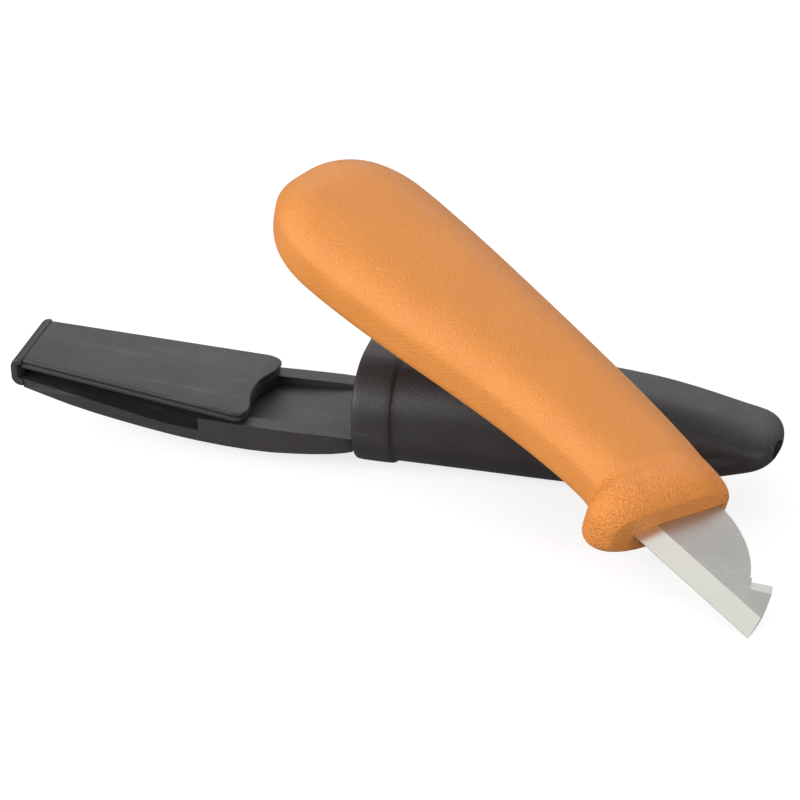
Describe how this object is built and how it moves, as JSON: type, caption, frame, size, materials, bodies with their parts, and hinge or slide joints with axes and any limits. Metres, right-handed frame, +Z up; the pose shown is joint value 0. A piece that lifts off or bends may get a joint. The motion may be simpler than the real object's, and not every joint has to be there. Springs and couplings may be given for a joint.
{
  "type": "cable stripping knife with belt sheath",
  "caption": "Short fixed-blade knife with a hooked blade end and a moulded orange handle, lying across its black belt sheath with a springy belt clip.",
  "frame": {"origin": "centre of the bounding box on the surface that the sheath lies on", "axes": "+X along the sheath from the belt clip's bend to the closed tip, +Y to the side that the knife's butt points to, +Z up"},
  "size_m": [0.1844, 0.0854, 0.0662],
  "materials": {
    "blade_steel": "stamped strip steel with a satin mottled flat and a finely ground bright bevel",
    "core_plastic": "hard plastic moulded round the tang, out of sight",
    "grip_plastic": "satin orange-tan plastic with a fine pebble grain, coarser on the guard",
    "sheath_plastic": "black polypropylene with a fine spark grain and soft highlights"
  },
  "bodies": {
    "sheath": {"sheath_body": "sheath_plastic"},
    "hanger": {"hanger": "sheath_plastic", "clip_bend": "sheath_plastic"},
    "clip": {"clip_plate": "sheath_plastic"},
    "knife": {"blade": "blade_steel", "handle_core": "core_plastic", "handle_grip": "grip_plastic"}
  },
  "joints": [
    {"name": "hanger_pull", "type": "slide", "parent": "sheath", "child": "hanger", "axis": [-1, 0, 0], "range_m": [0, 0.03]},
    {"name": "clip_flex", "type": "hinge", "parent": "hanger", "child": "clip", "pos_m": [-0.09132, 0.02026, 0.016], "axis": [0, -1, 0], "range_deg": [0, 12], "stiffness_Nm_per_rad": 0.5, "deforming": ["clip_bend"]},
    {"name": "knife_lift", "type": "slide", "parent": "sheath", "child": "knife", "axis": [0, 0, 1], "range_m": [0, 0.09]}
  ]
}
